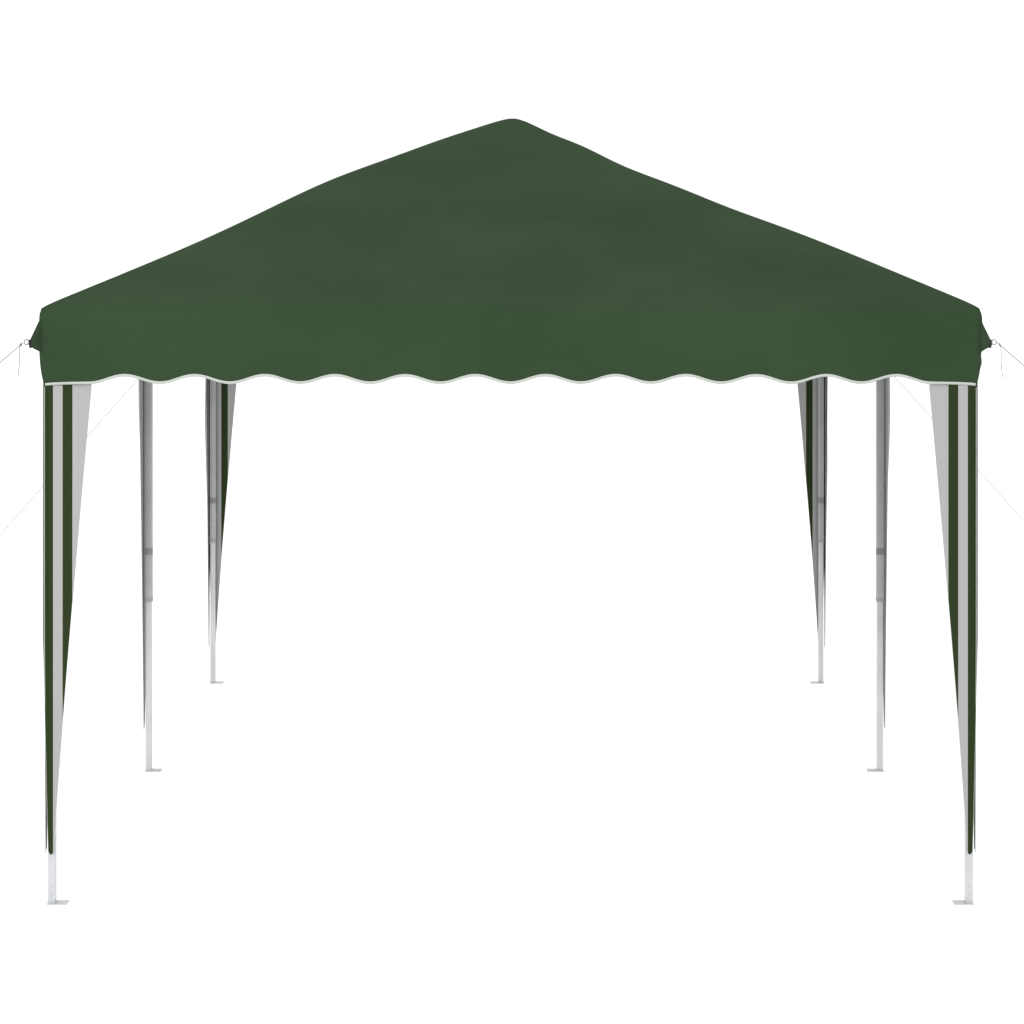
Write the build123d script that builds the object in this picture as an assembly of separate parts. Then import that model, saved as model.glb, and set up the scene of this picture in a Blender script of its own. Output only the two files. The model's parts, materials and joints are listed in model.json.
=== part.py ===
"""Pop up gazebo, 3 m by 4 m, on six telescopic legs.

Millimetres, +Z up, +Y along the long side. The origin is on the ground, midway between the legs.
"""
import os
from math import hypot, pi, sqrt

from build123d import *

os.makedirs("parts", exist_ok=True)

# ---- driving dimensions -------------------------------------------------------------------------
# leg grid, centre to centre
span_x = 2920.0                # across the short end
bay_y = 1970.0                 # one bay along the long side, two bays in all
end_units = 3                  # scissors across an end
bay_units = 2                  # scissors along a bay

# legs
outer_size = 28.0              # upper, outer leg tube
outer_wall = 1.5
tube_gap = 1.0                 # inner tube to outer tube, each side
inner_wall = 1.2
outer_bottom = 681.0
button_over_end = 52.0         # the hole that the snap button sits in, above the tube's end
hole_steps = (195.0, 97.0)     # free holes for the snap button, above that hole
inner_past_button = 277.0      # inner tube above its button
hole_r = 4.0
button_gap = 0.4               # button to its hole
button_wall = 1.0              # sheet that the button and its spring are pressed from
button_free = 0.2              # button, pressed in, to the upper tube
foot_plate = 64.0              # width of the foot plate, which reaches inwards
foot_depth = 50.0
foot_thick = 3.0
foot_plug = 70.0               # height of the foot's plug inside the tube
foot_bolts = (31.0, 56.0)
bolt_r = 2.5
bolt_head_r = 3.75
bolt_head_high = 2.0
peg_hole_r = 5.0
peg_inset = 40.0               # peg hole from the outer edge of the plate

# brackets and sliders
bracket_wall = 4.0
bracket_lid = 3.0
pin_past_bracket = 17.0        # strut pin from the bracket's side
upper_pin_z = 1850.0
tube_over_pin = 12.0           # upper tube above its strut pins
truss_height = 150.0           # upper pin to lower pin when open
bracket_low = 25.0             # bracket or slider below its pin
bracket_high = 14.0            # top bracket above its pin
slider_high = 25.0             # slider above its pin
slider_gap = 0.6               # slider to leg, each side
cheek_thick = 4.0
cheek_half = 12.0              # cheek above and below its pin
cheek_reach = 10.0             # cheek past its pin

# struts
strut_high = 20.0
strut_thick = 10.0
strut_wall = 1.0
layer_gap = 1.0                # between the two struts of a scissor
pin_r = 3.0
head_r = 5.5
head_thick = 2.0
head_gap = 0.3
running = 0.05                 # radial clearance of a strut on its pin

# peak pole
pole_r = 12.5
pole_wall = 1.5
pole_lug = 4.0                 # lug plate between the scissor pin and the pole
pole_foot = 18.0               # lug and pole below the scissor pin
cap_r = 40.0
cap_top_r = 24.0
cap_high = 14.0

# canopy
canopy_past_bracket = 22.0     # canopy side from the bracket's side
eave_over_leg = 34.0           # eave above the upper tube
valance_high = 240.0
roof_rise = 704.0
peak_flat = 45.0               # half width of the flat at the peak
cloth = 1.0
tab_long = 24.0
tab_high = 26.0
tab_thick = 3.0
tab_below_eave = 106.0
ring_r = 8.0
ring_wire = 1.6

# leg curtains
curtain_thick = 1.5
curtain_gap = 3.0              # curtain to bracket
curtain_over_hem = 64.0        # curtain top above the valance's hem
curtain_foot = 160.0
curtain_past_bracket = 1.0     # outer edge at the top, past the bracket
curtain_reach = 120.0          # inner edge at the top, from the leg centre
curtain_foot_half = 9.0

# guy ropes
rope_r = 1.5
front_rope = 140.0             # run of a front rope along each axis
back_rope = 1300.0

# ---- what follows from them ---------------------------------------------------------------------
inner_size = outer_size - 2 * outer_wall - 2 * tube_gap     # lower, inner leg tube
outer_top = upper_pin_z + tube_over_pin
button_z = outer_bottom + button_over_end
height_holes = [button_z + step for step in hole_steps]
inner_top = button_z + inner_past_button
button_r = hole_r - button_gap
button_out = tube_gap - button_free                         # out of the lower tube
lower_pin_z = upper_pin_z - truss_height
layer = (strut_thick + layer_gap) / 2
stack = strut_thick + layer_gap / 2
cheek_in = stack + head_gap + head_thick + head_gap
bracket_half = outer_size / 2 + bracket_wall
pin_offset = bracket_half + pin_past_bracket                # strut pin from the leg's centre
pitch_x = (span_x - 2 * pin_offset) / end_units
pitch_y = (bay_y - 2 * pin_offset) / bay_units
curtain_edge = bracket_half + curtain_past_bracket          # past the leg's centre
canopy_x = span_x / 2 + bracket_half + canopy_past_bracket
canopy_y = bay_y + bracket_half + canopy_past_bracket
eave_z = outer_top + eave_over_leg
hem_z = eave_z - valance_high
peak_z = eave_z + roof_rise
tab_z = eave_z - tab_below_eave
curtain_top = hem_z + curtain_over_hem
pole_y = stack + head_gap + pole_lug + pole_r
ring_out = tab_long + ring_r

sides = {"left": -1, "right": 1}
rows = {"front": -1, "middle": 0, "back": 1}
legs = {
    f"{row}_{side}": (side_sign * span_x / 2, row_sign * bay_y)
    for row, row_sign in rows.items()
    for side, side_sign in sides.items()
}
# name: first leg, direction, number of scissors
trusses = {
    "front": ("front_left", (1, 0), end_units),
    "left_front": ("front_left", (0, 1), bay_units),
    "left_back": ("middle_left", (0, 1), bay_units),
    "right_front": ("front_right", (0, 1), bay_units),
    "right_back": ("middle_right", (0, 1), bay_units),
    "middle": ("middle_left", (1, 0), end_units),
    "back": ("back_left", (1, 0), end_units),
}


def save(node, *solids):
    """Write one node, its solids kept separate."""
    whole = Compound(children=list(solids))
    export_step(whole, f"parts/{node}.step")
    print(f"{node:32s} {len(solids)} solids  {sum(s.volume for s in solids) / 1000:9.1f} cm3")


def truss_plane(leg, direction):
    """A vertical plane through a leg: local x along the truss, local y up, local z across the layers."""
    x, y = legs[leg]
    across = (direction[1], -direction[0], 0)
    return Plane(origin=(x, y, 0), x_dir=(direction[0], direction[1], 0), z_dir=across)


def disc(radius, low, high, u, z):
    """A round solid across the layers, from low to high, centred on a pin."""
    return Pos(u, z, (low + high) / 2) * Cylinder(radius, high - low)


def rivet(u, z, low, high):
    """A headed pin through everything between low and high."""
    shank = disc(pin_r, low, high, u, z)
    return shank + disc(head_r, low - head_thick, low, u, z) + disc(head_r, high, high + head_thick, u, z)


# ---- struts -------------------------------------------------------------------------------------
def strut(start, end, offset, bored):
    """A flat tube with round ends between two pins; bored names the pins that it turns on."""
    run, rise = end[0] - start[0], end[1] - start[1]
    length = hypot(run, rise)
    bar = extrude(SlotCenterToCenter(length, strut_high), strut_thick / 2, both=True)
    bar -= Box(length + 2 * strut_high, strut_high - 2 * strut_wall, strut_thick - 2 * strut_wall)
    for name, place in (("start", -length / 2), ("middle", 0.0), ("end", length / 2)):
        radius = pin_r + (running if name in bored else 0.0)
        bar -= Pos(place, 0, 0) * Cylinder(radius, 2 * strut_thick)
    angle = Vector(1, 0, 0).get_signed_angle(Vector(run, rise, 0), Vector(0, 0, 1))
    middle = ((start[0] + end[0]) / 2, (start[1] + end[1]) / 2)
    return Pos(middle[0], middle[1], offset) * Rot(0, 0, angle) * bar


def make_truss(name):
    leg, direction, units = trusses[name]
    plane = truss_plane(leg, direction)
    pitch = pitch_x if direction[0] else pitch_y
    for unit in range(1, units + 1):
        near = pin_offset + (unit - 1) * pitch
        far = near + pitch
        last = unit == units
        bored = ("start", "end") if last else ("start",)
        falling = [strut((near, upper_pin_z), (far, lower_pin_z), -layer, bored)]
        rising = [strut((near, lower_pin_z), (far, upper_pin_z), layer, ("start", "middle", "end") if last
                        else ("start", "middle"))]
        carries_pole = name == "middle" and unit == 2
        pivot_top = stack + head_gap + (pole_lug + head_gap if carries_pole else 0.0)
        falling.append(rivet((near + far) / 2, upper_pin_z - truss_height / 2, -stack, pivot_top))
        if not last:
            falling.append(rivet(far, lower_pin_z, -stack, stack + head_gap))
            rising.append(rivet(far, upper_pin_z, -stack - head_gap, stack))
        save(f"{name}_strut_{unit}_falling", *[plane.location * s for s in falling])
        save(f"{name}_strut_{unit}_rising", *[plane.location * s for s in rising])


# ---- brackets and sliders -----------------------------------------------------------------------
def leg_directions(leg):
    """Each truss direction at a leg, and whether the leg is at that truss's start."""
    found = []
    x, y = legs[leg]
    for first, direction, units in trusses.values():
        fx, fy = legs[first]
        reach = span_x if direction[0] else bay_y
        if first == leg:
            found.append((direction, True))
        elif hypot(fx + direction[0] * reach - x, fy + direction[1] * reach - y) < 1:
            found.append((direction, False))
    return found


def clevises(leg, pin_z, upper):
    """The pairs of cheeks that stick out of a bracket, and their pins."""
    cheeks, pins = [], []
    for direction, at_start in leg_directions(leg):
        plane = truss_plane(leg, direction)
        way = 1 if at_start else -1
        inner, outer = outer_size / 2 + 1, pin_offset + cheek_reach
        for side in (-1, 1):
            cheek = Pos(way * (inner + outer) / 2, pin_z, side * (cheek_in + cheek_thick / 2))
            cheek = cheek * Box(outer - inner, 2 * cheek_half, cheek_thick)
            cheek -= disc(pin_r, -2 * cheek_in, 2 * cheek_in, way * pin_offset, pin_z)
            cheeks.append(plane.location * cheek)
        # a falling strut starts at an upper pin and ends at a lower one; a rising strut does the reverse
        free = 1 if at_start == upper else -1
        pin = rivet(way * pin_offset, pin_z, -cheek_in - cheek_thick, cheek_in + cheek_thick)
        low, high = sorted((0.0, free * cheek_in))
        pin += disc(head_r, low, high, way * pin_offset, pin_z)
        pins.append(plane.location * pin)
    return cheeks, pins


def sleeve(leg, low, high, hole, pin_z, upper):
    """A square sleeve round the leg tube with its clevises."""
    x, y = legs[leg]
    body = Pos(x, y, (low + high) / 2) * Box(2 * bracket_half, 2 * bracket_half, high - low)
    cheeks, pins = clevises(leg, pin_z, upper)
    for cheek in cheeks:
        body += cheek
    body -= Pos(x, y, (low + high) / 2) * Box(hole, hole, high - low + 2)
    return body, pins


# ---- legs ---------------------------------------------------------------------------------------
def square_tube(x, y, low, high, size, wall):
    tube = Pos(x, y, (low + high) / 2) * Box(size, size, high - low)
    return tube - Pos(x, y, (low + high) / 2) * Box(size - 2 * wall, size - 2 * wall, high - low + 2)


def button_plane(leg):
    """Where the snap button and its holes face: inwards on the left legs, forwards on the right."""
    x, y = legs[leg]
    facing = (1, 0, 0) if leg.endswith("left") else (0, -1, 0)
    return Plane(origin=(x, y, 0), x_dir=(facing[1], -facing[0], 0), z_dir=facing)


def through_face(leg, z, radius, low, high):
    """A round solid that points out of the leg's button face, from low to high off the centre."""
    plane = button_plane(leg)
    solid = Pos(0, 0, (low + high) / 2) * Cylinder(radius, high - low)
    return Pos(0, 0, z) * (plane.location * solid)


def make_upper_leg(leg):
    x, y = legs[leg]
    tube = square_tube(x, y, outer_bottom, outer_top, outer_size, outer_wall)
    for z in (*height_holes, button_z):
        tube -= through_face(leg, z, hole_r, 0, outer_size)
    bracket, pins = sleeve(leg, upper_pin_z - bracket_low, upper_pin_z + bracket_high, outer_size,
                           upper_pin_z, True)
    lid_z = upper_pin_z + bracket_high + bracket_lid / 2
    lid = Pos(x, y, lid_z) * Box(2 * bracket_half, 2 * bracket_half, bracket_lid)
    save(f"{leg}_upper_leg", tube, bracket + lid, *pins)


def make_slider(leg):
    hole = outer_size + 2 * slider_gap
    body, pins = sleeve(leg, lower_pin_z - bracket_low, lower_pin_z + slider_high, hole, lower_pin_z, False)
    save(f"{leg}_slider", body, *pins)


def make_lower_leg(leg):
    x, y = legs[leg]
    inward = -1 if x > 0 else 1
    tube = square_tube(x, y, foot_thick, inner_top, inner_size, inner_wall)
    tube -= through_face(leg, button_z, button_r, 0, inner_size)
    inside = inner_size - 2 * inner_wall
    edge = x - inward * outer_size / 2
    plate = Pos(edge + inward * foot_plate / 2, y, foot_thick / 2) * Box(foot_plate, foot_depth, foot_thick)
    plate -= Pos(edge + inward * peg_inset, y, 0) * Cylinder(peg_hole_r, 4 * foot_thick)
    plug = square_tube(x, y, foot_thick, foot_thick + foot_plug, inside, inner_wall)
    foot = plate + plug
    bolts = []
    for z in foot_bolts:
        shank = Pos(x, y, z) * Rot(90, 0, 0) * Cylinder(bolt_r, inner_size)
        tube -= shank
        foot -= shank
        head_y = y - inner_size / 2 - bolt_head_high / 2
        head = Pos(x, head_y, z) * Rot(90, 0, 0) * Cylinder(bolt_head_r, bolt_head_high)
        bolts.append(shank + head)
    # the button is drawn pressed in, so that the lower tube can slide past the upper tube's wall
    seat = inside / 2 - button_wall
    button = through_face(leg, button_z, button_r, seat, inner_size / 2 + button_out)
    spring = through_face(leg, button_z, button_r + button_wall, seat - button_wall, seat)
    save(f"{leg}_lower_leg", tube, foot, button + spring, *bolts)


# ---- peak pole ----------------------------------------------------------------------------------
def make_peak_pole():
    """A tube that stands on the middle scissor's crossing pin and carries the peak of the roof."""
    pivot_z = upper_pin_z - truss_height / 2
    top = peak_z - cloth - 1
    low = pivot_z - pole_foot
    tube_top = top - cap_high
    tube = Pos(0, -pole_y, (low + tube_top) / 2) * Cylinder(pole_r, tube_top - low)
    tube -= Pos(0, -pole_y, (low + tube_top) / 2) * Cylinder(pole_r - pole_wall, tube_top - low + 2)
    lug_y = -(stack + head_gap + pole_lug / 2)
    lug = Pos(0, lug_y, pivot_z) * Box(2 * pole_foot, pole_lug - head_gap, 2 * pole_foot)
    lug -= Pos(0, lug_y, pivot_z) * Rot(90, 0, 0) * Cylinder(pin_r + running, 3 * pole_lug)
    tube -= Pos(0, lug_y, pivot_z) * Rot(90, 0, 0) * Cylinder(head_r + 2, 3 * pole_lug)
    strap = Pos(0, -pole_y, pivot_z + 2 * pole_foot) * Cylinder(pole_r + 2, pole_foot)
    strap += Pos(0, lug_y, pivot_z + 1.5 * pole_foot) * Box(2 * pole_foot, pole_lug - head_gap, 2 * pole_foot)
    strap -= Pos(0, -pole_y, pivot_z + 2 * pole_foot) * Cylinder(pole_r, 4 * pole_foot)
    cap = Pos(0, -pole_y, tube_top + cap_high / 2) * Cone(cap_r, cap_top_r, cap_high)
    save("peak_pole", tube, lug + strap, cap)


# ---- canopy -------------------------------------------------------------------------------------
def canopy_form(inset, hem):
    """The whole space under the canopy, drawn in by inset."""
    x, y = canopy_x - inset, canopy_y - inset
    skirt = Pos(0, 0, (hem + eave_z - inset) / 2) * Box(2 * x, 2 * y, eave_z - inset - hem)
    eave = Plane.XY.offset(eave_z - inset) * Rectangle(2 * x, 2 * y)
    flat = Plane.XY.offset(peak_z - inset) * Pos(0, -pole_y) * Rectangle(2 * peak_flat, 2 * peak_flat)
    return skirt + loft([eave, flat])


def corner_pieces(x_sign, y_sign):
    """The reinforced tab and the ring at one corner, on the diagonal."""
    turn = Vector(1, 0, 0).get_signed_angle(Vector(x_sign, y_sign, 0), Vector(0, 0, 1))
    place = Pos(x_sign * canopy_x, y_sign * canopy_y, tab_z) * Rot(0, 0, turn)
    tab = place * Pos(tab_long / 2 + 0.5, 0, 0) * Box(tab_long - 1, tab_thick, tab_high)
    ring = place * Pos(ring_out + 1, 0, 0) * Rot(90, 0, 0) * Torus(ring_r, ring_wire)
    return [tab, ring]


def make_canopy():
    shell = canopy_form(0.0, hem_z) - canopy_form(cloth, hem_z - 1)
    pieces = [shell]
    for x_sign in sides.values():
        for y_sign in (-1, 1):
            pieces += corner_pieces(x_sign, y_sign)
    save("canopy", *pieces)


# ---- leg curtains -------------------------------------------------------------------------------
def curtain_panel(leg, across, outward, edge, reach):
    """A tapered panel beside a leg; it widens from edge, past the leg, to reach, along across."""
    x, y = legs[leg]
    plane = Plane(origin=(x, y, 0), x_dir=(across[0], across[1], 0), z_dir=(-outward[0], -outward[1], 0))
    flip = 1 if plane.y_dir.Z > 0 else -1
    outline = Polyline(
        (-edge, flip * curtain_top), (reach, flip * curtain_top),
        (curtain_foot_half, flip * curtain_foot), (-curtain_foot_half, flip * curtain_foot), close=True)
    face = make_face(outline)
    depth = -(bracket_half + curtain_gap)
    return plane.location * Pos(0, 0, depth) * extrude(face, -curtain_thick)


def make_curtains():
    corner, middle = [], []
    for leg, (x, y) in legs.items():
        inward = -1 if x > 0 else 1
        if y:
            ahead = -1 if y > 0 else 1
            corner.append(curtain_panel(leg, (inward, 0), (0, -ahead), curtain_edge, curtain_reach))
            corner.append(curtain_panel(leg, (0, ahead), (-inward, 0), curtain_edge, curtain_reach))
        else:
            middle.append(curtain_panel(leg, (0, 1), (-inward, 0), curtain_reach, curtain_reach))
    save("corner_curtains", *corner)
    save("middle_curtains", *middle)


# ---- guy ropes ----------------------------------------------------------------------------------
def make_rope(row, side):
    """A taut rope that runs from the corner ring out and down on the diagonal."""
    x_sign, y_sign = sides[side], rows[row]
    out = (ring_out + ring_r + ring_wire + 1 + rope_r) / sqrt(2)
    start = Vector(x_sign * (canopy_x + out), y_sign * (canopy_y + out), tab_z - rope_r)
    run = front_rope if row == "front" else back_rope
    end = start + Vector(x_sign * run, y_sign * run, -run)
    line = Line(start, end)
    rope = sweep(Plane(origin=start, z_dir=end - start) * Circle(rope_r), path=line)
    save(f"{row}_{side}_guy_rope", rope)
    print(f"  taut length {(end - start).length:.0f} mm, section times length "
          f"{pi * rope_r ** 2 * (end - start).length / 1000:.1f} cm3")


for leg_name in legs:
    make_upper_leg(leg_name)
    make_lower_leg(leg_name)
    make_slider(leg_name)
for truss_name in trusses:
    make_truss(truss_name)
make_peak_pole()
make_canopy()
make_curtains()
for row_name in ("front", "back"):
    for side_name in sides:
        make_rope(row_name, side_name)
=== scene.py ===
import json
from math import cos, pi, radians, sin, sqrt

import bpy
import numpy as np
from mathutils import Matrix, Vector


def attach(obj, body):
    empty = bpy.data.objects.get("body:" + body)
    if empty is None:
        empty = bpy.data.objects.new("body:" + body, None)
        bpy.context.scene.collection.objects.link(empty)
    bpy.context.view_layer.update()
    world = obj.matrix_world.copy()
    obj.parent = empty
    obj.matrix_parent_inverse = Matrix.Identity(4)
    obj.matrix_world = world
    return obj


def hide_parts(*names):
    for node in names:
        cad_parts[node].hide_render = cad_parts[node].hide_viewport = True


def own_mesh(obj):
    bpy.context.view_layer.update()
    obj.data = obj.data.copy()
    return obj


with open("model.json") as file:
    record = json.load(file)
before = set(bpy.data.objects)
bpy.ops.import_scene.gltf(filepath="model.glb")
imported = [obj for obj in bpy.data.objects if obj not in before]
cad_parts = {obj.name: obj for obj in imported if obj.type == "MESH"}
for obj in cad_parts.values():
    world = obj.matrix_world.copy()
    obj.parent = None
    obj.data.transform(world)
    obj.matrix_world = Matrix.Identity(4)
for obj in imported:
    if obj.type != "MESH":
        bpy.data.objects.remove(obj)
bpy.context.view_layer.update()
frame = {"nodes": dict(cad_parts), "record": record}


# ---- camera, light and floor --------------------------------------------------------------------
# A level long-lens camera before the front end, at standing height. The light is a white studio:
# a bright surround, one broad lamp high in front, and a pale floor.
camera_data = bpy.data.cameras.new("camera")
camera_data.lens = 85.6
camera_data.sensor_width = 36.0
camera_data.shift_x = -0.0172
camera_data.shift_y = -0.2568
camera = bpy.data.objects.new("camera", camera_data)
camera.location = (0.061, -9.728, 2.084)
camera.rotation_euler = (radians(90), 0, 0)
bpy.context.collection.objects.link(camera)
bpy.context.scene.camera = camera
bpy.context.scene.view_settings.view_transform = "Standard"

world = bpy.data.worlds.new("studio")
world.use_nodes = True
world.node_tree.nodes["Background"].inputs["Color"].default_value = (1.0, 1.0, 1.0, 1.0)
world.node_tree.nodes["Background"].inputs["Strength"].default_value = 1.1
bpy.context.scene.world = world


def lamp(name, place, target, size, power):
    bpy.ops.object.light_add(type="AREA", location=place)
    light = bpy.context.object
    light.name = name
    light.data.shape = "DISK"
    light.data.size = size
    light.data.energy = power
    aim = Vector(target) - Vector(place)
    light.rotation_euler = aim.to_track_quat("-Z", "Y").to_euler()


lamp("key_lamp", (-4.0, -9.0, 6.5), (0.0, 0.0, 1.4), 5.0, 260.0)

bpy.ops.object.select_all(action="DESELECT")
bpy.ops.mesh.primitive_plane_add(size=400.0, location=(0, 0, -0.0015))
floor = bpy.context.object
floor.name = "studio_floor"
floor_paint = bpy.data.materials.new("studio_floor")
floor_paint.use_nodes = True
floor_paint.node_tree.nodes["Principled BSDF"].inputs["Base Color"].default_value = (0.42, 0.42, 0.42, 1)
floor_paint.node_tree.nodes["Principled BSDF"].inputs["Emission Color"].default_value = (1, 1, 1, 1)
floor_paint.node_tree.nodes["Principled BSDF"].inputs["Emission Strength"].default_value = 0.80
floor_paint.node_tree.nodes["Principled BSDF"].inputs["Specular IOR Level"].default_value = 0.0
floor_paint.node_tree.nodes["Principled BSDF"].inputs["Roughness"].default_value = 0.9
floor.data.materials.append(floor_paint)


# ---- guy ropes ----------------------------------------------------------------------------------
# Thin braided cord, knotted on to the ring at each canopy corner and pulled tight on the diagonal.
# Each ends just past the view in a small knotted loop, where a peg would hold it.
ROPE_DIAMETER = 0.003
CANOPY_X = 1.5
CANOPY_Y = 2.01
TAB_Z = 1.79
RING_OUT = 0.040                # ring centre from the canopy corner, along the diagonal
RING_RADIUS = 0.008
FRONT_RUN = 0.14
BACK_RUN = 1.30
TAIL_LENGTH = 0.10


def plain_material(name, colour, roughness, metallic=0.0, sheen=0.0):
    """A shader with its whole-surface values set, ready for pattern nodes."""
    paint = bpy.data.materials.new(name)
    paint.use_nodes = True
    shader = paint.node_tree.nodes["Principled BSDF"]
    shader.inputs["Base Color"].default_value = (*colour, 1.0)
    shader.inputs["Roughness"].default_value = roughness
    shader.inputs["Metallic"].default_value = metallic
    shader.inputs["Sheen Weight"].default_value = sheen
    return paint, shader


def add_bump(paint, shader, scale, strength, distance, detail=2.0, stretch=(1, 1, 1)):
    """Fine surface relief from noise on object coordinates."""
    tree = paint.node_tree
    place = tree.nodes.new("ShaderNodeTexCoord")
    mapping = tree.nodes.new("ShaderNodeMapping")
    mapping.inputs["Scale"].default_value = stretch
    noise = tree.nodes.new("ShaderNodeTexNoise")
    noise.inputs["Scale"].default_value = scale
    noise.inputs["Detail"].default_value = detail
    bump = tree.nodes.new("ShaderNodeBump")
    bump.inputs["Strength"].default_value = strength
    bump.inputs["Distance"].default_value = distance
    tree.links.new(place.outputs["Object"], mapping.inputs["Vector"])
    tree.links.new(mapping.outputs["Vector"], noise.inputs["Vector"])
    tree.links.new(noise.outputs["Fac"], bump.inputs["Height"])
    tree.links.new(bump.outputs["Normal"], shader.inputs["Normal"])
    return noise


def vary_colour(paint, shader, noise, dark, light):
    """Let the noise carry the colour between two close shades."""
    ramp = paint.node_tree.nodes.new("ShaderNodeValToRGB")
    ramp.color_ramp.elements[0].position = 0.35
    ramp.color_ramp.elements[1].position = 0.65
    ramp.color_ramp.elements[0].color = (*dark, 1)
    ramp.color_ramp.elements[1].color = (*light, 1)
    paint.node_tree.links.new(noise.outputs["Fac"], ramp.inputs["Fac"])
    paint.node_tree.links.new(ramp.outputs["Color"], shader.inputs["Base Color"])


rope_paint, rope_shader = plain_material("braided_rope", (0.62, 0.62, 0.64), 0.8)
rope_noise = add_bump(rope_paint, rope_shader, 700.0, 0.6, 0.0006)
vary_colour(rope_paint, rope_shader, rope_noise, (0.17, 0.17, 0.177), (0.29, 0.29, 0.30))


def cord_curve(name, points, diameter):
    """A round cord on one smooth curve through given points."""
    line = bpy.data.curves.new(name, "CURVE")
    line.dimensions = "3D"
    line.bevel_depth = diameter / 2
    line.bevel_resolution = 3
    line.use_fill_caps = True
    spline = line.splines.new("NURBS")
    spline.points.add(len(points) - 1)
    for control, place in zip(spline.points, points):
        control.co = (*place, 1.0)
    spline.order_u = 3
    spline.use_endpoint_u = True
    spline.resolution_u = 8
    cord = bpy.data.objects.new(name, line)
    bpy.context.collection.objects.link(cord)
    cord.data.materials.append(rope_paint)
    return cord


def knot(name, place, radius, paint):
    """A small overhand knot: a lumpy ball of two wraps."""
    bpy.ops.object.select_all(action="DESELECT")
    bpy.ops.mesh.primitive_torus_add(major_radius=radius * 0.62, minor_radius=radius * 0.42,
                                     major_segments=20, minor_segments=10, location=place,
                                     rotation=(0.5, 0.9, 0.2))
    first = bpy.context.object
    bpy.ops.mesh.primitive_torus_add(major_radius=radius * 0.55, minor_radius=radius * 0.4,
                                     major_segments=20, minor_segments=10, location=place,
                                     rotation=(1.6, 0.1, 0.9))
    first.select_set(True)
    bpy.context.view_layer.objects.active = first
    bpy.ops.object.join()
    bpy.ops.object.transform_apply(location=True, rotation=True, scale=True)
    bpy.ops.object.shade_smooth()
    first.name = name
    first.data.materials.append(paint)
    return first


corner_legs = {"front_left": (-1, -1), "front_right": (1, -1), "back_left": (-1, 1), "back_right": (1, 1)}
for corner, (side, row) in corner_legs.items():
    body = f"{corner}_upper_leg"
    run = FRONT_RUN if row < 0 else BACK_RUN
    # the rope's root is just outside the ring, in line with the tab
    out = (RING_OUT + RING_RADIUS + 0.0041) / sqrt(2)
    root = Vector((side * (CANOPY_X + out), row * (CANOPY_Y + out), TAB_Z - 0.0015))
    way = Vector((side, row, -1))
    near = root + way * min(0.02, run / 4)
    far = root + way * (run - 0.02)
    tip = root + way * run
    rope = cord_curve(f"{corner}_rope", [root, near, far, tip], ROPE_DIAMETER)
    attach(rope, body)
    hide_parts(f"{corner}_guy_rope")
    root_knot = knot(f"{corner}_rope_knot", root + way * 0.006, 0.005, rope_paint)
    end_knot = knot(f"{corner}_rope_end_knot", tip - way * 0.008, 0.0055, rope_paint)
    # the free end hangs down from the knot and flicks slightly outwards
    top = root + way * 0.008
    tail = cord_curve(f"{corner}_rope_tail",
                      [top, top + Vector((side * 0.003, 0, -0.02)), top + Vector((side * 0.001, 0, -0.05)),
                       top + Vector((side * 0.004, row * 0.002, -0.08)),
                       top + Vector((side * 0.006, row * 0.003, -TAIL_LENGTH))], ROPE_DIAMETER * 0.8)
    for piece in (root_knot, end_knot, tail):
        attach(piece, body)


# ---- steel frame --------------------------------------------------------------------------------
# Square tube legs, flat tube struts, brackets and the peak pole. The steel is rolled, welded and
# powder coated pale grey; the inner tubes are a shade lighter and the sliders a shade darker.
def coated_steel(name, dark, light, roughness):
    paint, shader = plain_material(name, light, roughness, metallic=0.15)
    noise = add_bump(paint, shader, 260.0, 0.12, 0.0004, detail=4.0)
    shader.inputs["Coat Weight"].default_value = 0.25
    shader.inputs["Coat Roughness"].default_value = 0.3
    cloud = paint.node_tree.nodes.new("ShaderNodeTexNoise")
    cloud.inputs["Scale"].default_value = 6.0
    cloud.inputs["Detail"].default_value = 3.0
    paint.node_tree.links.new(paint.node_tree.nodes["Texture Coordinate"].outputs["Object"],
                              cloud.inputs["Vector"])
    vary_colour(paint, shader, cloud, dark, light)
    return paint


steel = {
    "leg_steel": coated_steel("coated_leg_steel", (0.375, 0.383, 0.392), (0.43, 0.438, 0.447), 0.42),
    "inner_leg_steel": coated_steel("coated_inner_leg_steel", (0.51, 0.52, 0.535), (0.58, 0.59, 0.605), 0.4),
    "slider_steel": coated_steel("coated_slider_steel", (0.30, 0.31, 0.32), (0.36, 0.37, 0.38), 0.45),
    "strut_steel": coated_steel("coated_strut_steel", (0.50, 0.51, 0.52), (0.56, 0.57, 0.58), 0.42),
}
for part in frame["record"]["subparts"]:
    if part["material_slot"] in steel:
        node = frame["nodes"][part["node"]]
        node.data.materials.clear()
        node.data.materials.append(steel[part["material_slot"]])


# ---- joint bands and tube collars on the legs ---------------------------------------------------
# A darker plastic band wraps each upper tube between its two free height holes, and the outer
# tube ends in a moulded collar that keeps the inner tube from rattling.
BAND_LOW = 0.864
BAND_HIGH = 0.891
BAND_OUTER = 0.0284
COLLAR_LOW = 0.676
COLLAR_HIGH = 0.694
COLLAR_OUTER = 0.0296
SPAN_X = 2.92
BAY_Y = 1.97

grey_plastic, grey_shader = plain_material("grey_plastic", (0.24, 0.245, 0.25), 0.55)
add_bump(grey_plastic, grey_shader, 900.0, 0.2, 0.0002)


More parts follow.
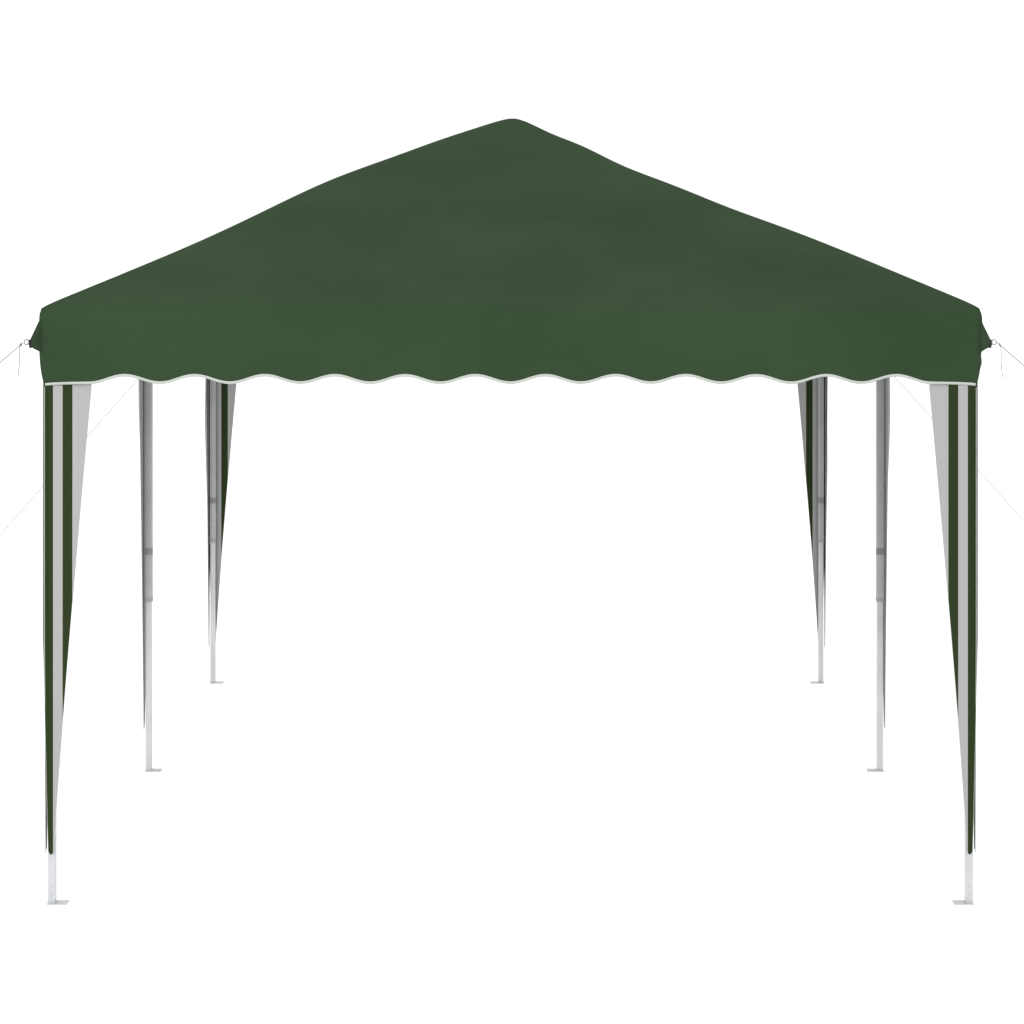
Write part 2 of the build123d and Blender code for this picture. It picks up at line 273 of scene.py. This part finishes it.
def square_ring(name, x, y, low, high, outer, inner, paint):
    """A moulded square ring round a tube, with softened corners."""
    bpy.ops.object.select_all(action="DESELECT")
    bpy.ops.mesh.primitive_cube_add(size=1.0, location=(x, y, (low + high) / 2),
                                    scale=(outer, outer, high - low))
    ring = bpy.context.object
    bpy.ops.object.transform_apply(location=True, rotation=True, scale=True)
    bpy.ops.object.mode_set(mode="EDIT")
    bpy.ops.mesh.select_mode(type="FACE")
    bpy.ops.mesh.select_all(action="DESELECT")
    bpy.ops.object.mode_set(mode="OBJECT")
    for face in ring.data.polygons:
        face.select = abs(face.normal.z) > 0.9
    bpy.ops.object.mode_set(mode="EDIT")
    bpy.ops.mesh.inset(thickness=(outer - inner) / 2)
    bpy.ops.mesh.bridge_edge_loops()
    bpy.ops.object.mode_set(mode="OBJECT")
    edge = ring.modifiers.new("edge", "BEVEL")
    edge.width = min(0.0006, (outer - inner) / 6)
    edge.segments = 2
    bpy.ops.object.modifier_apply(modifier="edge")
    ring.name = name
    ring.data.materials.append(paint)
    return ring


leg_places = {
    f"{row}_{side}": (x * SPAN_X / 2, y * BAY_Y)
    for row, y in (("front", -1), ("middle", 0), ("back", 1))
    for side, x in (("left", -1), ("right", 1))
}
for leg, (x, y) in leg_places.items():
    band = square_ring(f"{leg}_leg_band", x, y, BAND_LOW, BAND_HIGH, BAND_OUTER, 0.0281, grey_plastic)
    collar = square_ring(f"{leg}_tube_collar", x, y, COLLAR_LOW, COLLAR_HIGH, COLLAR_OUTER, 0.0282,
                         steel["slider_steel"])
    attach(band, f"{leg}_upper_leg")
    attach(collar, f"{leg}_upper_leg")


# ---- canopy -------------------------------------------------------------------------------------
# One tent of green coated polyester: four sloping panels sewn along the hips, over the peak cap,
# and an upright valance all round that hangs a little inwards to a wavy hem. It is cut in strips
# one scissor wide, so that each strip folds with its strut.
EAVE_Z = 1.896
HEM_Z = 1.656
PEAK_Z = 2.606
PEAK_Y = -0.027
CORNER_RADIUS = 0.03
TIP_ROUND = 0.03
VALANCE = EAVE_Z - HEM_Z
WAVE_PITCH = 0.2227
WAVE_HIGH = 0.024
FLAT_END = 0.164
HEM_DRAW = 0.015                # how far the hem hangs inside the eave
CELL = 0.0125                   # size of a mesh cell along the eave
STRIP_SPLIT = {"end": 0.475, "side": 0.985}
DIAGONAL = 1 - sqrt(0.5)
SLACK = 0.022                   # how far a panel sags between its hips

green_cloth, green_shader = plain_material("green_polyester", (0.030, 0.055, 0.027), 0.85)
green_shader.inputs["Specular IOR Level"].default_value = 0.04
green_noise = add_bump(green_cloth, green_shader, 1400.0, 0.25, 0.0003, detail=3.0)
green_cloud = green_cloth.node_tree.nodes.new("ShaderNodeTexNoise")
green_cloud.inputs["Scale"].default_value = 2.2
green_cloud.inputs["Detail"].default_value = 4.0
green_cloth.node_tree.links.new(green_cloth.node_tree.nodes["Texture Coordinate"].outputs["Object"],
                                green_cloud.inputs["Vector"])
vary_colour(green_cloth, green_shader, green_cloud, (0.0285, 0.0525, 0.0255), (0.0345, 0.0610, 0.0305))


def hem_height(along, half):
    """Height of the wavy hem at a distance along one side from its middle."""
    waves = round((2 * half - 2 * FLAT_END) / WAVE_PITCH)
    pitch = (2 * half - 2 * FLAT_END) / waves
    phase = (along + half - FLAT_END) / pitch
    wavy = np.abs(along) < half - FLAT_END
    corner_drop = 0.008 * np.exp(-(half - np.abs(along)) / 0.06)
    return HEM_Z - corner_drop + np.where(wavy, WAVE_HIGH / 2 * (1 - np.cos(2 * pi * phase)), 0.0)


def roof_height(x, y):
    """Height of the roof cloth over a point of the plan."""
    y = y - PEAK_Y * (1 - np.abs(y) / CANOPY_Y)
    across, along = np.abs(x) / CANOPY_X, np.abs(y) / CANOPY_Y
    out = np.maximum(across, along)
    ratio = np.minimum(across, along) / np.maximum(out, 1e-6)
    soft = np.sqrt(out ** 2 + TIP_ROUND ** 2)
    height = EAVE_Z + (PEAK_Z - EAVE_Z) / (1 - TIP_ROUND) * (1 - soft)
    middle = 4 * out * (1 - out)
    height -= SLACK * middle * (1 - ratio ** 2)
    height -= 0.006 * (1 - out) * ratio ** 30
    folds = np.sin(9 * x + 5 * y + 1.5 * np.sin(2.3 * x - 1.1 * y)) + 0.5 * np.sin(17 * x - 8 * y + 1.0)
    height += 0.0035 * folds * middle * (1 - ratio ** 4)
    # the cloth hangs slack over the right of the peak and stands full over the left
    slack_right = 0.026 * np.exp(-((x - 0.42) / 0.17) ** 2) + 0.014 * np.exp(-((x - 0.15) / 0.11) ** 2)
    slack_right += 0.022 * np.exp(-((x - 0.74) / 0.22) ** 2)
    full_left = 0.012 * np.exp(-((x + 0.30) / 0.20) ** 2) + 0.044 * np.exp(-((x + 0.68) / 0.30) ** 2)
    height += (full_left - slack_right) * (1 - out) ** 0.5
    return height


def side_plan(along, half_along, half_out):
    """Plan of one side's eave: (along, outwards) on a straight run and half a rounded corner each end."""
    straight = half_along - CORNER_RADIUS
    angle = np.clip((np.abs(along) - straight) / CORNER_RADIUS, 0, pi / 4)
    a = np.where(np.abs(along) > straight,
                 np.sign(along) * (straight + CORNER_RADIUS * np.sin(angle)), along)
    return a, half_out - CORNER_RADIUS * (1 - np.cos(angle)), angle


def cloth_grid(name, columns, rows):
    """A flat grid to shape into a sheet; gives the object and each point's place across and up."""
    bpy.ops.object.select_all(action="DESELECT")
    bpy.ops.mesh.primitive_grid_add(x_subdivisions=columns, y_subdivisions=rows, size=1.0)
    cloth = bpy.context.object
    cloth.name = name
    flat = np.empty(len(cloth.data.vertices) * 3)
    cloth.data.vertices.foreach_get("co", flat)
    flat = flat.reshape(-1, 3)
    return cloth, flat[:, 0] + 0.5, flat[:, 1] + 0.5


def shape_cloth(cloth, points):
    """Put the grid's points in place, merge the ones that meet, and smooth the surface."""
    cloth.data.vertices.foreach_set("co", np.ascontiguousarray(points).ravel())
    cloth.data.update()
    bpy.context.view_layer.objects.active = cloth
    bpy.ops.object.mode_set(mode="EDIT")
    bpy.ops.mesh.select_all(action="SELECT")
    bpy.ops.mesh.remove_doubles(threshold=0.0002)
    bpy.ops.mesh.select_all(action="DESELECT")
    bpy.ops.object.mode_set(mode="OBJECT")
    bpy.ops.object.shade_smooth()


def to_row_frame(along, out, z, side):
    """Turn a side's own (along, outwards) plan into x and y."""
    if side == "front":
        return np.column_stack([along, -out, z])
    if side == "back":
        return np.column_stack([-along, out, z])
    if side == "left":
        return np.column_stack([-out, -along, z])
    return np.column_stack([out, along, z])


def valance_place(along_eave, height, half_along, half_out, side):
    """A point on the valance, height above the hem line, as (along, outwards, z)."""
    a, out, angle = side_plan(along_eave, half_along, half_out)
    hem = hem_height(along_eave, half_along)
    z = hem + height * (EAVE_Z - 0.004 - hem)
    down = (EAVE_Z - z) / VALANCE
    inwards = HEM_DRAW * down ** 5 + 0.010 * np.exp(-(EAVE_Z - z) / 0.010)
    seed = {"front": 0.0, "right": 1.3, "back": 2.6, "left": 3.9}[side]
    ripple = 0.0030 * np.sin(5.2 * along_eave + seed) + 0.0022 * np.sin(11 * along_eave + 9 * z + 2 * seed)
    # creases fan out of the tab at each corner
    for end in (-1, 1):
        gap = half_along - end * along_eave
        fan = np.arctan2(z - TAB_Z, gap + 0.03)
        ripple = ripple + 0.0035 * np.sin(11 * fan + seed) * np.exp(-gap / 0.35)
    # the hem is held where a curtain is sewn to it
    corner_gap = half_along - np.abs(along_eave)
    ripple = ripple * (1 - np.exp(-corner_gap / 0.12) * (1 - np.minimum(1, (z - hem) / 0.06)))
    inwards = inwards + ripple * np.minimum(1, down * 3) * (angle < 0.01)
    return a - np.sign(a) * inwards * np.sin(angle), out - inwards * np.cos(angle), z


def make_strip(side, name, low, high, half_along, half_out):
    """One strip of a side: valance from the hem up, then roof from the eave to the hip."""
    columns = max(8, round((high - low) / CELL))
    valance_rows, roof_rows = 18, 56
    cloth, s, t = cloth_grid(name, columns, valance_rows + roof_rows)
    along = low + s * (high - low)
    row = np.rint(t * (valance_rows + roof_rows))
    a, out, z = valance_place(along, np.minimum(1, row / valance_rows), half_along, half_out, side)
    plan_a, plan_out, _ = side_plan(along, half_along, half_out)
    up = np.clip((row - valance_rows) / roof_rows, 0, 1) ** 1.25
    corner_a = half_along - CORNER_RADIUS * DIAGONAL
    corner_out = half_out - CORNER_RADIUS * DIAGONAL
    hip_out = corner_out * np.abs(plan_a) / corner_a
    roof_out = (plan_out - 0.010) + up * (hip_out - (plan_out - 0.010))
    roof_out = np.maximum(roof_out, hip_out)
    roof = to_row_frame(plan_a, roof_out, z, side)
    roof_z = roof_height(roof[:, 0], roof[:, 1])
    roof_z -= 0.007 * np.exp(-(plan_out - roof_out) / 0.02)
    on_roof = row > valance_rows
    points = to_row_frame(np.where(on_roof, plan_a, a), np.where(on_roof, roof_out, out),
                          np.where(on_roof, roof_z, z), side)
    shape_cloth(cloth, points)
    cloth.data.materials.append(green_cloth)
    return cloth


arc_end = CORNER_RADIUS * (pi / 4 - 1)          # a corner's half arc, past the straight run
end_strips = [-CANOPY_X - arc_end, -STRIP_SPLIT["end"], 0.0, STRIP_SPLIT["end"], CANOPY_X + arc_end]
side_strips = [-CANOPY_Y - arc_end, -STRIP_SPLIT["side"], 0.0, STRIP_SPLIT["side"], CANOPY_Y + arc_end]
# each strip's strut: strips run anticlockwise seen from above, so the back and left ones run backwards
canopy_sides = {
    "front": (CANOPY_X, CANOPY_Y, end_strips,
              ["front_strut_1_falling", "front_strut_2_rising", "front_strut_2_falling", "front_strut_3_rising"]),
    "back": (CANOPY_X, CANOPY_Y, end_strips,
             ["back_strut_3_rising", "back_strut_2_falling", "back_strut_2_rising", "back_strut_1_falling"]),
    "left": (CANOPY_Y, CANOPY_X, side_strips,
             ["left_back_strut_2_rising", "left_back_strut_1_falling",
              "left_front_strut_2_rising", "left_front_strut_1_falling"]),
    "right": (CANOPY_Y, CANOPY_X, side_strips,
              ["right_front_strut_1_falling", "right_front_strut_2_rising",
               "right_back_strut_1_falling", "right_back_strut_2_rising"]),
}


def fold_with_frame(cloth):
    """Give a strip its own copy of its mesh data."""
    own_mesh(cloth)


# ---- hem binding --------------------------------------------------------------------------------
# A pale grey-green tape, folded over the raw edge of the wavy hem and sewn on both faces.
BINDING_HIGH = 0.009
BINDING_HALF = 0.0012

binding_cloth, binding_shader = plain_material("binding_tape", (0.47, 0.50, 0.46), 0.85)
add_bump(binding_cloth, binding_shader, 1500.0, 0.35, 0.0003)


def make_binding(side, name, low, high, half_along, half_out):
    """The tape as a closed flat loop: up the outer face, over the hem and up the inner face."""
    columns = max(8, round((high - low) / CELL))
    tape, s, t = cloth_grid(name, columns, 6)
    along = low + s * (high - low)
    lift = np.abs(t - 0.5) * 2
    face = np.sign(t - 0.5) * np.minimum(1, lift * 3) * BINDING_HALF
    hem = hem_height(along, half_along)
    height = (lift * BINDING_HIGH - 0.001) / (EAVE_Z - 0.004 - hem)
    a, out, z = valance_place(along, height, half_along, half_out, side)
    shape_cloth(tape, to_row_frame(a, out + face, z, side))
    tape.data.materials.append(binding_cloth)
    return tape


for side, (half_along, half_out, splits, struts) in canopy_sides.items():
    for number, strut in enumerate(struts, 1):
        low, high = splits[number - 1], splits[number]
        cloth = make_strip(side, f"canopy_{side}_{number}", low, high, half_along, half_out)
        tape = make_binding(side, f"hem_binding_{side}_{number}", low, high, half_along, half_out)
        for piece, finish in ((cloth, "canopy_cloth"), (tape, "binding")):
            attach(piece, strut)
            fold_with_frame(piece)
        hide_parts("canopy")


# ---- corner tabs and rings ----------------------------------------------------------------------
# At each corner a green patch is sewn over the valance and holds a short loop of black webbing.
# The loop carries a round steel ring, and the guy rope is tied to the ring.
PATCH_TOP = 0.062               # above the middle of the tab, where the patch meets the canopy
PATCH_LOW = -0.030
PATCH_REACH = 0.024             # out along the diagonal
TAB_HALF = 0.013
TAB_LONG = 0.0095
TAB_DROP = 0.6                  # the rope pulls the tab down by this much for each unit outwards
WEBBING = 0.0018
RING_WIRE = 0.0019

black_webbing, webbing_shader = plain_material("black_webbing", (0.012, 0.012, 0.013), 0.7)
add_bump(black_webbing, webbing_shader, 500.0, 0.8, 0.0008, stretch=(1, 1, 4))
ring_steel, ring_shader = plain_material("ring_steel", (0.36, 0.36, 0.37), 0.3, metallic=1.0)
add_bump(ring_steel, ring_shader, 400.0, 0.1, 0.0002)


def finish_turned(piece, name, place, turn, paint):
    """Bake a piece modelled along +X into its corner and give it its finish."""
    piece.data.transform(Matrix.Translation(place) @ Matrix.Rotation(turn, 4, "Z"))
    piece.data.update()
    bpy.ops.object.shade_smooth_by_angle(angle=radians(40))
    piece.name = name
    piece.data.materials.clear()
    piece.data.materials.append(paint)
    return piece


def pulled_tab(name, place, turn, start, stop, thick, paint, at_canopy):
    """A double layer of cloth on the diagonal, pulled out and down by the rope."""
    bpy.ops.object.select_all(action="DESELECT")
    bpy.ops.mesh.primitive_grid_add(x_subdivisions=20, y_subdivisions=16, size=1.0)
    tab = bpy.context.object
    for vertex in tab.data.vertices:
        way, up = vertex.co.x + 0.5, vertex.co.y + 0.5
        reach = start + (stop - start) * way
        share = reach / PATCH_REACH if at_canopy else 1.0
        low = PATCH_LOW + (-TAB_HALF - PATCH_LOW) * share
        high = PATCH_TOP + (TAB_HALF - PATCH_TOP) * share
        crinkle = 0.0012 * sin(9 * up + 5 * way) * (1 - way) if at_canopy else 0.0
        lean = TAB_DROP * up * 0.012
        vertex.co = (reach + lean * share, crinkle, low + (high - low) * up - TAB_DROP * max(0.0, reach) * 0.35)
    wall = tab.modifiers.new("wall", "SOLIDIFY")
    wall.thickness = thick
    wall.offset = 0.0
    bpy.ops.object.modifier_apply(modifier="wall")
    return finish_turned(tab, name, place, turn, paint)


for corner, (side, row) in corner_legs.items():
    turn = np.arctan2(row, side)
    # the valance hangs a little inside the eave at the height of the tab
    place = Vector((side * (CANOPY_X - 0.004), row * (CANOPY_Y - 0.004), TAB_Z))
    patch = pulled_tab(f"{corner}_corner_patch", place, turn, -0.012, PATCH_REACH, 0.0024, green_cloth, True)
    strap = pulled_tab(f"{corner}_webbing_loop", place, turn, PATCH_REACH - 0.001, PATCH_REACH + TAB_LONG,
                       WEBBING, black_webbing, False)
    bpy.ops.object.select_all(action="DESELECT")
    bpy.ops.mesh.primitive_torus_add(major_radius=RING_RADIUS, minor_radius=RING_WIRE, major_segments=40,
                                     minor_segments=12, rotation=(radians(90), 0, 0))
    bpy.ops.object.transform_apply(location=False, rotation=True, scale=True)
    middle = Vector((side * (CANOPY_X + RING_OUT / sqrt(2)), row * (CANOPY_Y + RING_OUT / sqrt(2)), TAB_Z))
    ring = finish_turned(bpy.context.object, f"{corner}_guy_ring", middle, turn, ring_steel)
    for piece, finish in ((patch, "canopy_cloth"), (strap, "webbing"), (ring, "ring_steel")):
        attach(piece, f"{corner}_upper_leg")


# ---- leg curtains -------------------------------------------------------------------------------
# Tapered drops of green and pale striped polyester, sewn inside the valance and tied to the legs.
# Each corner leg has one on both outer sides; each middle leg has one across its outer face.
CURTAIN_TOP = 1.672
CURTAIN_FOOT = 0.16
CURTAIN_OUT = 0.0195            # from the leg's centre to the cloth
CORNER_EDGE = 0.031             # outer edge at the top, past the leg's centre
CURTAIN_REACH = 0.131           # inner edge at the top, from the leg's centre
FOOT_HALF = 0.0085
STRIPE = 0.0308
HEM_TAPE = 0.0022
TAPE_BELOW_TOP = 0.026         # the tape ends behind the valance

striped_cloth, striped_shader = plain_material("striped_polyester", (0.5, 0.5, 0.5), 0.85)
striped_shader.inputs["Specular IOR Level"].default_value = 0.15
add_bump(striped_cloth, striped_shader, 1400.0, 0.25, 0.0003, detail=3.0)
stripe_map = striped_cloth.node_tree.nodes.new("ShaderNodeUVMap")
stripe_map.uv_map = "UVMap"
stripe_split = striped_cloth.node_tree.nodes.new("ShaderNodeSeparateXYZ")
stripe_ramp = striped_cloth.node_tree.nodes.new("ShaderNodeValToRGB")
stripe_ramp.color_ramp.interpolation = "CONSTANT"
GREEN_STRIPE = (0.021, 0.034, 0.010, 1)
PALE_STRIPE = (0.37, 0.37, 0.368, 1)
stripe_ramp.color_ramp.elements[0].color = GREEN_STRIPE
stripe_ramp.color_ramp.elements[1].position = STRIPE / 0.2
stripe_ramp.color_ramp.elements[1].color = PALE_STRIPE
for count, colour in ((2, GREEN_STRIPE), (3, PALE_STRIPE)):
    stop = stripe_ramp.color_ramp.elements.new(count * STRIPE / 0.2)
    stop.color = colour
striped_cloth.node_tree.links.new(stripe_map.outputs["UV"], stripe_split.inputs["Vector"])
striped_cloth.node_tree.links.new(stripe_split.outputs["X"], stripe_ramp.inputs["Fac"])
striped_cloth.node_tree.links.new(stripe_ramp.outputs["Color"], striped_shader.inputs["Base Color"])


def curtain_edges(z, outer, reach):
    """Outer and inner edge of a curtain at a height, measured along it from the leg's centre."""
    up = np.clip((z - CURTAIN_FOOT) / (CURTAIN_TOP - CURTAIN_FOOT), 0, 1)
    inner = FOOT_HALF + (reach - FOOT_HALF) * up ** 1.15
    outside = -FOOT_HALF - (outer - FOOT_HALF) * np.minimum(1, up * 2.2)
    return outside, inner


def make_curtain(name, leg, along, out, outer, reach, seed):
    """A tapered sheet beside a leg: along is its width's direction and out the way it faces."""
    cloth, s, t = cloth_grid(name, 30, 110)
    z = CURTAIN_FOOT + t * (CURTAIN_TOP - CURTAIN_FOOT)
    left, right = curtain_edges(z, outer, reach)
    width = left + s * (right - left)
    free = np.clip((width - 0.02) / 0.08, 0, 1)
    swing = 0.0045 * free * np.sin(2.6 * z + seed) + 0.0022 * free * np.sin(60 * width + 3 * z + seed)
    hang = CURTAIN_OUT + 0.0010 + np.maximum(0, swing) * (1 - t ** 8)
    round_tip = 0.012 * (2 * s - 1) ** 2 * np.exp(-t * 40)
    x, y = leg_places[leg]
    points = np.column_stack([x + along[0] * width + out[0] * hang, y + along[1] * width + out[1] * hang,
                              z + round_tip])
    shape_cloth(cloth, points)
    # stripes run straight down, so the map is the distance from the outer edge at the top
    chart = cloth.data.uv_layers["UVMap"].data
    for loop in cloth.data.loops:
        place = cloth.data.vertices[loop.vertex_index].co
        across = (place.x - x) * along[0] + (place.y - y) * along[1]
        chart[loop.index].uv = ((across + outer) / 0.2, place.z)
    cloth.data.materials.append(striped_cloth)
    return cloth


def curtain_hem(name, cloth_points, paint):
    """A narrow rolled tape along one edge of a curtain."""
    tape = bpy.data.curves.new(name, "CURVE")
    tape.dimensions = "3D"
    tape.bevel_depth = HEM_TAPE / 2
    tape.bevel_resolution = 2
    spline = tape.splines.new("POLY")
    spline.points.add(len(cloth_points) - 1)
    for control, place in zip(spline.points, cloth_points):
        control.co = (*place, 1.0)
    hem = bpy.data.objects.new(name, tape)
    bpy.context.collection.objects.link(hem)
    bpy.ops.object.select_all(action="DESELECT")
    hem.select_set(True)
    bpy.context.view_layer.objects.active = hem
    bpy.ops.object.convert(target="MESH")
    hem.data.materials.append(paint)
    return hem


def edge_points(leg, along, out, outer, reach, inner):
    heights = np.linspace(CURTAIN_FOOT + 0.01, CURTAIN_TOP - TAPE_BELOW_TOP, 60)
    left, right = curtain_edges(heights, outer, reach)
    width = right if inner else left
    x, y = leg_places[leg]
    return [(x + along[0] * w + out[0] * CURTAIN_OUT, y + along[1] * w + out[1] * CURTAIN_OUT, z)
            for w, z in zip(width, heights)]


panels = []
for leg, (x, y) in leg_places.items():
    inward, ahead = (-1 if x > 0 else 1), (-1 if y > 0 else 1)
    if y:
        panels.append((f"{leg}_end_curtain", leg, (inward, 0), (0, -ahead), CORNER_EDGE - 0.0062, CURTAIN_REACH,
                       "corner_curtains"))
        panels.append((f"{leg}_side_curtain", leg, (0, ahead), (-inward, 0), CORNER_EDGE - 0.0062, CURTAIN_REACH,
                       "corner_curtains"))
    else:
        panels.append((f"{leg}_curtain", leg, (0, -1), (-inward, 0), CURTAIN_REACH, CURTAIN_REACH,
                       "middle_curtains"))
for seed, (name, leg, along, out, outer, reach, node) in enumerate(panels):
    cloth = make_curtain(name, leg, along, out, outer, reach, 0.7 * seed)
    tapes = [curtain_hem(f"{name}_{which}_tape", edge_points(leg, along, out, outer, reach, which == "inner"),
                         binding_cloth) for which in ("inner", "outer")]
    for piece, finish in ((cloth, "curtain_cloth"), *((tape, "binding") for tape in tapes)):
        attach(piece, f"{leg}_upper_leg")
    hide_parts(node)
